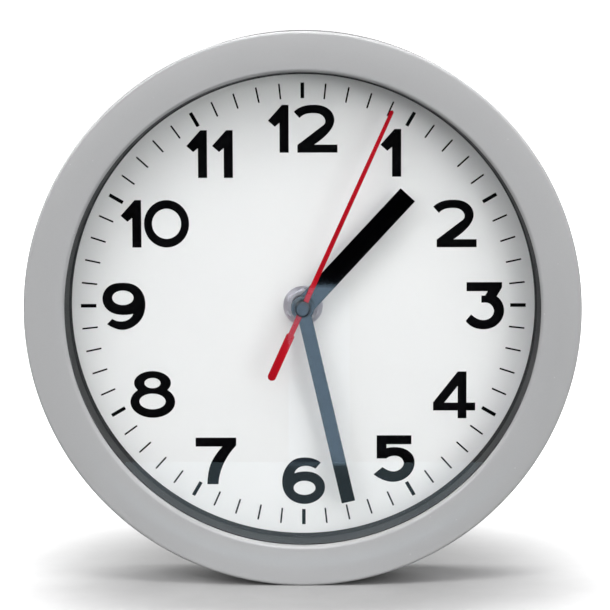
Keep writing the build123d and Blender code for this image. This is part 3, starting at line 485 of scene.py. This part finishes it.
def phenolic():
    """Brown phenolic circuit board with a dark etched pattern."""
    s = Shade("board_phenolic", IOR=1.5, Coat_Weight=0.3, Coat_Roughness=0.2)
    fibre = s.noise(scale=700.0, detail=4.0, roughness=0.7, stretch=(1.0, 1.0, 3.0))
    tracks = s.spread(s.cells(scale=420.0, randomness=0.25), 0.28, 0.34, 1.0, 0.0)
    base = s.mix(s.contrast(fibre), (0.20, 0.10, 0.035), (0.30, 0.16, 0.06))
    track_green = (0.12, 0.16, 0.05)
    s.colour(s.mix(s.math("MULTIPLY", tracks, 0.5), base, track_green))
    s.rough(fibre, 0.35, 0.5)
    s.bump(fibre, distance=0.00002, strength=0.5)
    return s


def cell_sleeve():
    """Plain shrink sleeve of the cell: dark body with a copper-coloured band at the positive end."""
    s = Shade("cell_sleeve", Metallic=0.25, Coat_Weight=0.7, Coat_Roughness=0.08)
    along = s.split()["X"]
    wrinkle = s.noise(scale=420.0, detail=4.0, roughness=0.6, stretch=(0.35, 1.0, 1.0))
    band_start, band_full = 0.0118, 0.0121
    band = s.spread(along, band_start, band_full, 0.0, 1.0)
    base = s.mix(band, (0.022, 0.024, 0.03), (0.62, 0.30, 0.12))
    # The sleeve turns greyer where the wrinkle noise is high, which is where the bump raises it.
    wrinkle_grey = (0.3, 0.3, 0.32)
    s.colour(s.mix(s.spread(wrinkle, 0.45, 0.75, 0.0, 0.25), base, wrinkle_grey))
    s.rough(wrinkle, 0.22, 0.36)
    s.bump(wrinkle, distance=0.00003, strength=0.4)
    return s


def clear_glass():
    """Clear float glass with a trace of haze where it has been wiped."""
    s = Shade("lens_glass", Transmission_Weight=1.0, IOR=1.3, Base_Color=(0.985, 0.992, 0.99, 1.0))
    smear = s.noise(scale=16.0, detail=5.0, roughness=0.65, stretch=(1.0, 1.0, 2.6), distortion=0.8)
    s.rough(smear, 0.0, 0.012, low=0.45, high=0.8)
    return s


PAINT = satin_paint("bezel_silver_paint", (0.452, 0.455, 0.462), roughness=0.42)
WALL_PLASTIC = moulded(
    "ring_grey_plastic", (0.030, 0.031, 0.033),
    roughness=0.6, texture=0.00001, scale=2500.0, variation=0.1, ior=1.3,
)
FOAM = moulded(
    "gasket_black_foam", (0.014, 0.014, 0.016),
    roughness=0.9, texture=0.00012, scale=3500.0, variation=0.25, ior=1.3,
)
REAR = moulded("rear_case_charcoal", (0.080, 0.082, 0.086), roughness=0.52, texture=0.00005, scale=1800.0)
KNOB = moulded("knob_black", (0.045, 0.045, 0.048), roughness=0.36, texture=0.00003, scale=2500.0)
MOVEMENT = moulded("movement_black", (0.028, 0.028, 0.03), roughness=0.36, texture=0.00002, scale=2600.0)
ACETAL = moulded(
    "gear_acetal", (0.78, 0.76, 0.70), roughness=0.38, texture=0.00001, scale=3000.0, variation=0.03,
)
NICKEL = metal("nickel_plate", (0.72, 0.70, 0.76), roughness=0.46, turned=True)
STEEL = metal("screw_zinc", (0.62, 0.63, 0.65), roughness=0.34)
IRON = metal("soft_iron", (0.42, 0.42, 0.43), roughness=0.42)
MAGNET = metal("magnet_grey", (0.13, 0.13, 0.14), roughness=0.5)
CAN = metal("crystal_can", (0.72, 0.72, 0.73), roughness=0.22)
RESIN = moulded(
    "chip_resin", (0.012, 0.012, 0.013), roughness=0.3, texture=0.00006, scale=700.0, variation=0.2,
)
DIAL = dial_sheet()
INK = ink()
HAND_BLACK = hand_paint("hand_black_enamel", (0.0006, 0.0006, 0.0008), roughness=0.42, coat=1.0)
HAND_RED = hand_paint("hand_red_enamel", (0.40, 0.006, 0.013), roughness=0.38, coat=0.3)
CAP = hand_paint("second_cap_black", (0.006, 0.006, 0.008), roughness=0.3, coat=0.8)
COPPER = copper_wire()
BOARD = phenolic()
SLEEVE = cell_sleeve()
GLASS = clear_glass()

# CAD nodes that show as they are, with these materials.
CARRIED_OVER = {
    "rear_case": REAR, "case_screws": STEEL, "minute_track": INK, "dial_numerals": INK,
    "rubber_washer": FOAM, "hour_wheel": ACETAL, "minute_wheel": ACETAL, "motion_wheel": ACETAL,
    "third_wheel": ACETAL, "second_wheel": ACETAL, "intermediate_wheel": ACETAL, "rotor_pinion": ACETAL,
    "setting_knob": KNOB, "rotor_magnet": MAGNET, "stator": IRON, "coil_core": IRON,
    "coil_bobbin": MOVEMENT, "coil_winding": COPPER, "circuit_board": BOARD, "chip_cover": RESIN,
    "quartz_crystal": CAN, "battery_cell": SLEEVE, "battery_terminals": NICKEL,
    "contact_positive": NICKEL, "contact_negative": NICKEL,
    "movement_case": MOVEMENT, "movement_cover": MOVEMENT,
}
for node_name, shade in CARRIED_OVER.items():
    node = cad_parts[node_name]
    node.data.materials.clear()
    node.data.materials.append(shade.material)


# ---------------------------------------------------------------- case pieces

def bezel():
    """Front ring with a crowned face, a rounded outer edge and a bead round the opening."""
    rim_centre = CASE_RADIUS - EDGE_ROUND
    bead_centre = LIP_RADIUS + BEAD_ROUND
    rim = arc((rim_centre, FACE_Z - EDGE_ROUND), EDGE_ROUND, 0.0, 86.0, 10)
    face = []
    for i in range(1, FACE_STEPS):
        t = i / FACE_STEPS
        crown = FACE_CROWN * (1 - (2 * t - 1) ** 2)
        face.append((rim_centre + (bead_centre - rim_centre) * t, FACE_Z + crown))
    bead = arc((bead_centre, FACE_Z - BEAD_ROUND), BEAD_ROUND, 92.0, 180.0, 16)
    inside = [
        (LIP_RADIUS, LIP_REAR_Z), (POCKET_RADIUS, LIP_REAR_Z), (POCKET_RADIUS, DIAL_Z),
        (POCKET_WALL_RADIUS, DIAL_Z), (POCKET_WALL_RADIUS, FACE_REAR_Z),
        (SKIRT_INNER_FRONT_RADIUS, FACE_REAR_Z),
        (SKIRT_INNER_REAR_RADIUS, SKIRT_REAR_Z + SKIRT_INNER_CHAMFER[1]),
        (SKIRT_INNER_REAR_RADIUS + SKIRT_INNER_CHAMFER[0], SKIRT_REAR_Z),
    ]
    outside = [
        (SKIRT_OUTER_RADIUS - SKIRT_OUTER_CHAMFER[0], SKIRT_REAR_Z),
        (SKIRT_OUTER_RADIUS, SKIRT_REAR_Z + SKIRT_OUTER_CHAMFER[1]),
    ]
    profile = rim + face + bead + inside + outside
    return lathe("bezel_shell", profile, PAINT, "case", "bezel", segments=480)


bezel()
glass = lathe(
    "lens_glass",
    [
        (0, GLASS_REAR_Z), (INSERT_RADIUS - GLASS_CHAMFER, GLASS_REAR_Z),
        (INSERT_RADIUS, GLASS_REAR_Z + GLASS_CHAMFER), (INSERT_RADIUS, LIP_REAR_Z - GLASS_CHAMFER),
        (INSERT_RADIUS - GLASS_CHAMFER, LIP_REAR_Z), (0, LIP_REAR_Z),
    ],
    GLASS, "case", "glass_lens", segments=240, closed=False,
)
glass.visible_shadow = False
lathe(
    "spacer_ring",
    [
        (SPACER_FOOT_RADIUS, SPACER_REAR_Z), (INSERT_RADIUS, SPACER_REAR_Z), (INSERT_RADIUS, GLASS_REAR_Z),
        (LIP_RADIUS, GLASS_REAR_Z), (LIP_RADIUS - SPACER_CHAMFER, GLASS_REAR_Z - SPACER_CHAMFER),
        (SPACER_REAR_RADIUS, SPACER_REAR_Z + SPACER_FOOT_HEIGHT),
        (SPACER_FOOT_RADIUS, SPACER_REAR_Z + SPACER_CHAMFER),
    ],
    WALL_PLASTIC, "case", "inner_ring",
)
lathe(
    "cushion_ring",
    [
        (CUSHION_RADIUS, DIAL_Z), (INSERT_RADIUS, DIAL_Z), (INSERT_RADIUS, SPACER_REAR_Z),
        (CUSHION_RADIUS + CUSHION_CHAMFER, SPACER_REAR_Z),
        (CUSHION_RADIUS, SPACER_REAR_Z - CUSHION_CHAMFER),
    ],
    FOAM, "case", "gasket_ring",
)
lathe(
    "dial_sheet",
    [
        (DIAL_HOLE_RADIUS, DIAL_REAR_Z), (DIAL_RADIUS, DIAL_REAR_Z),
        (DIAL_RADIUS, DIAL_Z), (DIAL_HOLE_RADIUS, DIAL_Z),
    ],
    DIAL, "case", "dial",
)
lathe(
    "fixing_washer",
    [
        (BUSH_RADIUS, DIAL_Z), (WASHER_RADIUS - WASHER_REAR_CHAMFER, DIAL_Z),
        (WASHER_RADIUS, DIAL_Z + WASHER_REAR_CHAMFER),
        (WASHER_RADIUS, WASHER_FRONT_Z - WASHER_FRONT_CHAMFER),
        (WASHER_RADIUS - WASHER_FRONT_CHAMFER, WASHER_FRONT_Z), (BUSH_RADIUS, WASHER_FRONT_Z),
    ],
    NICKEL, "case", "metal_washer", segments=160,
)


# ---------------------------------------------------------------- nut and hands

def nut():
    """Hexagon nut with the corners turned off and a bored centre."""
    bm = bmesh.new()
    cut_width, cut_depth = NUT_CHAMFER
    rings = []
    for distance, cut in ((WASHER_FRONT_Z, 0.0), (NUT_FRONT_Z - cut_depth, 0.0), (NUT_FRONT_Z, cut_width)):
        outer = []
        for i in range(NUT_STEPS):
            angle = 360.0 * i / NUT_STEPS + NUT_TURN
            hexagon = NUT_HALF_WIDTH / math.cos(math.radians(angle % 60.0 - 30.0))
            outer.append(bm.verts.new(stand(min(hexagon, NUT_CORNER_RADIUS - cut), angle, distance)))
        rings.append(outer)
    bore = (
        (BUSH_RADIUS + NUT_BORE_CHAMFER, NUT_FRONT_Z),
        (BUSH_RADIUS, NUT_FRONT_Z - NUT_BORE_CHAMFER),
        (BUSH_RADIUS, WASHER_FRONT_Z),
    )
    for radial, distance in bore:
        rings.append(ring(bm, radial, distance, NUT_STEPS, NUT_TURN))
    join_rings(bm, rings, NUT_STEPS)
    return piece("hexagon_nut", bm, NICKEL, "case", "hex_nut", smooth_angle=30.0)


def bar_outline(length, width, eye):
    """Round eye running into a straight bar with a square end."""
    half = width / 2
    start = math.degrees(math.acos(half / eye))
    return arc((0.0, 0.0), eye, 180.0 - start, 360.0 + start, 72) + [
        (half, length - HAND_CORNER), (half - HAND_CORNER, length),
        (HAND_CORNER - half, length), (-half, length - HAND_CORNER),
    ]


def minute_boss():
    """Outline of the low round boss in front of the minute hand, its edge rounded in two steps."""
    rear = MINUTE_REAR_Z + HAND_THICKNESS - SINK
    return [
        (MINUTE_HOLE_RADIUS, rear), (MINUTE_BOSS_RADIUS, rear),
        (MINUTE_BOSS_RADIUS, MINUTE_BOSS_FRONT_Z - 0.28),
        (MINUTE_BOSS_RADIUS - 0.08, MINUTE_BOSS_FRONT_Z - 0.1),
        (MINUTE_BOSS_RADIUS - 0.25, MINUTE_BOSS_FRONT_Z), (MINUTE_HOLE_RADIUS, MINUTE_BOSS_FRONT_Z),
    ]


def second_outline():
    """Thin blade, round boss, and a tail that steps out to a counterweight with a round end."""
    axis = (0.0, 0.0)
    root = math.degrees(math.acos(SECOND_ROOT_HALF_WIDTH / SECOND_BOSS_RADIUS))
    tail = math.degrees(math.acos(SECOND_TAIL_HALF_WIDTH / SECOND_BOSS_RADIUS))
    right = arc(axis, SECOND_BOSS_RADIUS, -tail, root, 16)
    left = arc(axis, SECOND_BOSS_RADIUS, 180.0 - root, 180.0 + tail, 16)
    tip = arc((0.0, SECOND_TIP_CENTRE), SECOND_TIP_RADIUS, 0.0, 180.0, 32)
    weight = arc((0.0, WEIGHT_HALF_WIDTH - WEIGHT_END), WEIGHT_HALF_WIDTH, 180.0, 360.0, 32)
    neck_start, neck_end = WEIGHT_NECK
    left_neck = [(-SECOND_TAIL_HALF_WIDTH, -neck_start), (-WEIGHT_HALF_WIDTH, -neck_end)]
    right_neck = [(WEIGHT_HALF_WIDTH, -neck_end), (SECOND_TAIL_HALF_WIDTH, -neck_start)]
    return right + tip + left + left_neck + weight + right_neck


nut()
plate(
    "hour_hand_blade", [bar_outline(length=55.8, width=7.1, eye=4.3), circle(HOUR_HOLE_RADIUS)],
    HOUR_REAR_Z, HOUR_REAR_Z + HAND_THICKNESS, HOUR_ANGLE,
    HAND_BLACK, "hour", "hour_hand",
    collars=[collar(HOUR_HOLE_RADIUS, HOUR_COLLAR_RADIUS, HOUR_COLLAR_REAR_Z, HOUR_REAR_Z)],
)
plate(
    "minute_hand_blade", [bar_outline(length=73.0, width=5.0, eye=4.2), circle(MINUTE_HOLE_RADIUS)],
    MINUTE_REAR_Z, MINUTE_REAR_Z + HAND_THICKNESS, MINUTE_ANGLE,
    HAND_BLACK, "minute", "minute_hand",
    collars=[
        minute_boss(),
        collar(MINUTE_HOLE_RADIUS, MINUTE_COLLAR_RADIUS, MINUTE_COLLAR_REAR_Z, MINUTE_REAR_Z),
    ],
)
plate(
    "second_hand_blade", [second_outline(), circle(SECOND_HOLE_RADIUS, 32)],
    SECOND_REAR_Z, SECOND_FRONT_Z, SECOND_ANGLE, HAND_RED, "seconds", "second_hand",
    bevel=0.08, segments=48,
    collars=[collar(SECOND_HOLE_RADIUS, SECOND_COLLAR_RADIUS, SECOND_COLLAR_REAR_Z, SECOND_REAR_Z)],
)
# A ring of points just inside the edge of the cap keeps its flat front from shading round.
lathe(
    "second_cap",
    [(0, CAP_FRONT_Z), (CAP_FLAT_RADIUS - CAP_FLAT_EDGE, CAP_FRONT_Z), (CAP_FLAT_RADIUS, CAP_FRONT_Z)]
    + arc((CAP_FLAT_RADIUS, CAP_FRONT_Z - CAP_ROUND), CAP_ROUND, 78.0, 0.0, 6)
    + [(CAP_RADIUS, SECOND_FRONT_Z), (0, SECOND_FRONT_Z)],
    CAP, "seconds", "second_hand_cap", segments=120, closed=False, smooth_angle=8.0,
)


# ---------------------------------------------------------------- floor, lights, camera

# Places and sizes from here on are in metres, powers in watts and angles in degrees.
FLOOR_FRONT = -14
FLOOR_REAR = 26
FLOOR_HALF_WIDTH = 14
FLOOR_SPLIT = -0.06
# Centre and radius of the painted shadow round the clock, where the floor's glow fades out; the glow is
# full from BRIGHT_RADIUS on.
PAINTED_SHADOW_CENTRE_Y = -0.02
PAINTED_SHADOW_RADIUS = 0.05
BRIGHT_RADIUS = 0.18
CENTRE = (0.0, -0.02, 0.0)
LILAC = (1.0, 0.985, 1.01)
GREENISH = (0.985, 1.0, 0.985)
PANEL_Y = -1.2


def staged(name, corners, shade, **seen):
    """Four-cornered backdrop piece; seen names the kinds of ray that miss it."""
    bm = bmesh.new()
    bm.faces.new([bm.verts.new(corner) for corner in corners])
    mesh = bpy.data.meshes.new(name)
    bm.to_mesh(mesh)
    bm.free()
    obj = bpy.data.objects.new(name, mesh)
    bpy.context.scene.collection.objects.link(obj)
    mesh.materials.append(shade.material)
    obj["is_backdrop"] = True
    for kind, value in seen.items():
        setattr(obj, "visible_" + kind, value)
    return obj


def floor_part(name, front, rear, shade, **seen):
    """Rectangle of floor at the height of the lowest point of the clock."""
    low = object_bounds()[0].z
    corners = [
        (-FLOOR_HALF_WIDTH, front, low), (FLOOR_HALF_WIDTH, front, low),
        (FLOOR_HALF_WIDTH, rear, low), (-FLOOR_HALF_WIDTH, rear, low),
    ]
    staged(name, corners, shade, **seen)


def floor():
    """Pale floor that glows evenly away from the clock; the glow fades out near the clock and paints a soft
    shadow round it, beside the shadow that the lamps cast.
    """
    s = Shade("floor_pale", Roughness=0.9, Specular_IOR_Level=0.1, Emission_Color=(1.0, 1.0, 1.0, 1.0))
    grain = s.noise(scale=60.0, detail=3.0, roughness=0.6)
    s.colour(s.mix(s.contrast(grain), (0.44, 0.44, 0.44), (0.47, 0.47, 0.47)))
    place = s.split()
    far = s.length(place["X"], s.math("ADD", place["Y"], -PAINTED_SHADOW_CENTRE_Y))
    # The glow fades to nothing near the clock, which paints a soft shadow round it.
    glow_strength = s.spread(far, PAINTED_SHADOW_RADIUS, BRIGHT_RADIUS, 0.0, 1.0, smooth=True)
    s.link(glow_strength, s.shader.inputs["Emission Strength"])
    floor_part("floor", FLOOR_SPLIT, FLOOR_REAR, s, glossy=False)
    floor_part("floor_front", FLOOR_FRONT, FLOOR_SPLIT, s, glossy=False, transmission=False, diffuse=False)


def glow(name, colour, strength):
    """Softly uneven light panel."""
    black = (0.0, 0.0, 0.0, 1.0)
    s = Shade(name, Roughness=1.0, Specular_IOR_Level=0.0, Base_Color=black, Emission_Strength=strength)
    cloud = s.noise(scale=6.0, detail=2.0, roughness=0.5)
    s.link(s.mix(s.contrast(cloud), tint(colour, 0.92), colour), s.shader.inputs["Emission Color"])
    return s


def area(name, place, size, power, colour=(1.0, 1.0, 1.0), target=CENTRE, glossy=True):
    """Rectangular light aimed at a target; one that is not glossy gives no reflection."""
    lamp = bpy.data.lights.new(name, "AREA")
    lamp.shape = "RECTANGLE"
    lamp.size, lamp.size_y = size
    lamp.energy = power
    lamp.color = colour
    obj = bpy.data.objects.new(name, lamp)
    bpy.context.scene.collection.objects.link(obj)
    obj.location = place
    obj.rotation_mode = "QUATERNION"
    obj.rotation_quaternion = (Vector(target) - Vector(place)).to_track_quat("-Z", "Y")
    obj.visible_camera = False
    obj.visible_glossy = glossy


def from_front(azimuth, elevation, distance):
    """Place seen from the dial at an angle to the right and above."""
    a, e = math.radians(azimuth), math.radians(elevation)
    level = distance * math.cos(e)
    return (level * math.sin(a), -level * math.cos(a), distance * math.sin(e))


def studio():
    """World that the camera sees as white, and that lights the clock more from above than from the side."""
    world = bpy.data.worlds.new("studio")
    bpy.context.scene.world = world
    world.use_nodes = True
    nodes, links = world.node_tree.nodes, world.node_tree.links
    path = nodes.new("ShaderNodeLightPath")
    coord = nodes.new("ShaderNodeTexCoord")
    split = nodes.new("ShaderNodeSeparateXYZ")
    links.new(coord.outputs["Generated"], split.inputs[0])
    lift = nodes.new("ShaderNodeMapRange")
    horizon, high_up, darkest, brightest = -0.02, 0.6, 0.0, 0.35
    for index, number in enumerate((horizon, high_up, darkest, brightest)):
        lift.inputs[index + 1].default_value = number
    links.new(split.outputs["Z"], lift.inputs[0])
    choose = nodes.new("ShaderNodeMix")
    choose.data_type = "FLOAT"
    links.new(path.outputs["Is Camera Ray"], choose.inputs["Factor"])
    links.new(lift.outputs[0], choose.inputs["A"])
    choose.inputs["B"].default_value = 1.0
    links.new(choose.outputs["Result"], nodes["Background"].inputs["Strength"])
    nodes["Background"].inputs["Color"].default_value = (1.0, 1.0, 1.0, 1.0)


floor()
area("key", from_front(24, 36, 1.5), size=(2.2, 1.2), power=10.2, colour=LILAC)
area("fill_left", from_front(-24, 3, 1.8), size=(0.5, 0.8), power=3.6, colour=GREENISH, glossy=False)
area("fill_right", from_front(34, 4, 1.8), size=(0.8, 0.8), power=8.6, colour=GREENISH, glossy=False)
area("sheen", (-0.42, -0.50, 0.42), size=(0.3, 0.3), power=1.4)
area("bead_light", from_front(4, 62, 1.4), size=(0.9, 0.35), power=7.9)
area("rim_light", (-1.2, 0.35, 0.55), size=(0.6, 0.6), power=5.0)
area("top", (-0.12, 0.45, 1.25), size=(0.8, 0.8), power=9.0, target=(0.0, 0.0, -0.1))
area("back", (0.7, 1.5, 0.9), size=(1.2, 0.9), power=11.0)
studio()

# The camera looks down a little and from slightly to the right, as in the photo.
# Its angles, distance and lens are fitted to the photo.
AZIMUTH, ELEVATION, ROLL = (math.radians(v) for v in (0.834, 6.97, -0.20))
DISTANCE = 1.03205
LENS = 167.1
LOOK_AT = Vector((0.000698, -DIAL_Z * MM, 0.000091))
back = Vector((
    math.sin(AZIMUTH) * math.cos(ELEVATION), -math.cos(AZIMUTH) * math.cos(ELEVATION), math.sin(ELEVATION),
))
side = (-back).cross(Vector((0, 0, 1))).normalized()
up = side.cross(-back)
right = side * math.cos(ROLL) + up * math.sin(ROLL)
top = up * math.cos(ROLL) - side * math.sin(ROLL)
eye = LOOK_AT + back * DISTANCE
camera = bpy.data.objects.new("camera", bpy.data.cameras.new("camera"))
bpy.context.scene.collection.objects.link(camera)
camera.data.sensor_width = 36.0
camera.data.lens = LENS
camera.data.clip_start = 0.05
camera.data.clip_end = 60.0
camera.matrix_world = Matrix.Translation(eye) @ Matrix((right, top, back)).transposed().to_4x4()
bpy.context.scene.camera = camera
bpy.context.scene.view_settings.view_transform = "Standard"


def mirrored(across, height, mirror_y):
    """Point of the plane of the panels that the camera sees mirrored at a point of an upright surface."""
    touch = Vector((across * MM, mirror_y, height * MM))
    ray = touch - eye
    return touch + Vector((ray.x, -ray.y, ray.z)) * ((PANEL_Y - touch.y) / -ray.y)


def panel(name, left, right_side, lower, upper, mirror_y, shade, **seen):
    """Light panel that the camera sees mirrored in a box of the dial, whose sides are in millimetres."""
    corners = [
        mirrored(left, lower, mirror_y), mirrored(right_side, lower, mirror_y),
        mirrored(right_side, upper, mirror_y), mirrored(left, upper, mirror_y),
    ]
    staged(name, corners, shade, camera=False, diffuse=False, shadow=False, **seen)


MINUTE_FRONT_Y = -(MINUTE_REAR_Z + HAND_THICKNESS) * MM
panel(
    "panel_on_hands", left=-5.2, right_side=17.0, lower=-56.8, upper=8.1, mirror_y=MINUTE_FRONT_Y,
    shade=glow("panel_blue", (0.70, 1.0, 1.32), strength=1.45), glossy=False,
)
panel(
    "panel_on_glass", left=-66.4, right_side=78.4, lower=-87.0, upper=-55.1, mirror_y=-LIP_REAR_Z * MM,
    shade=glow("panel_soft", (0.72, 1.0, 1.15), strength=2.0), transmission=False,
)
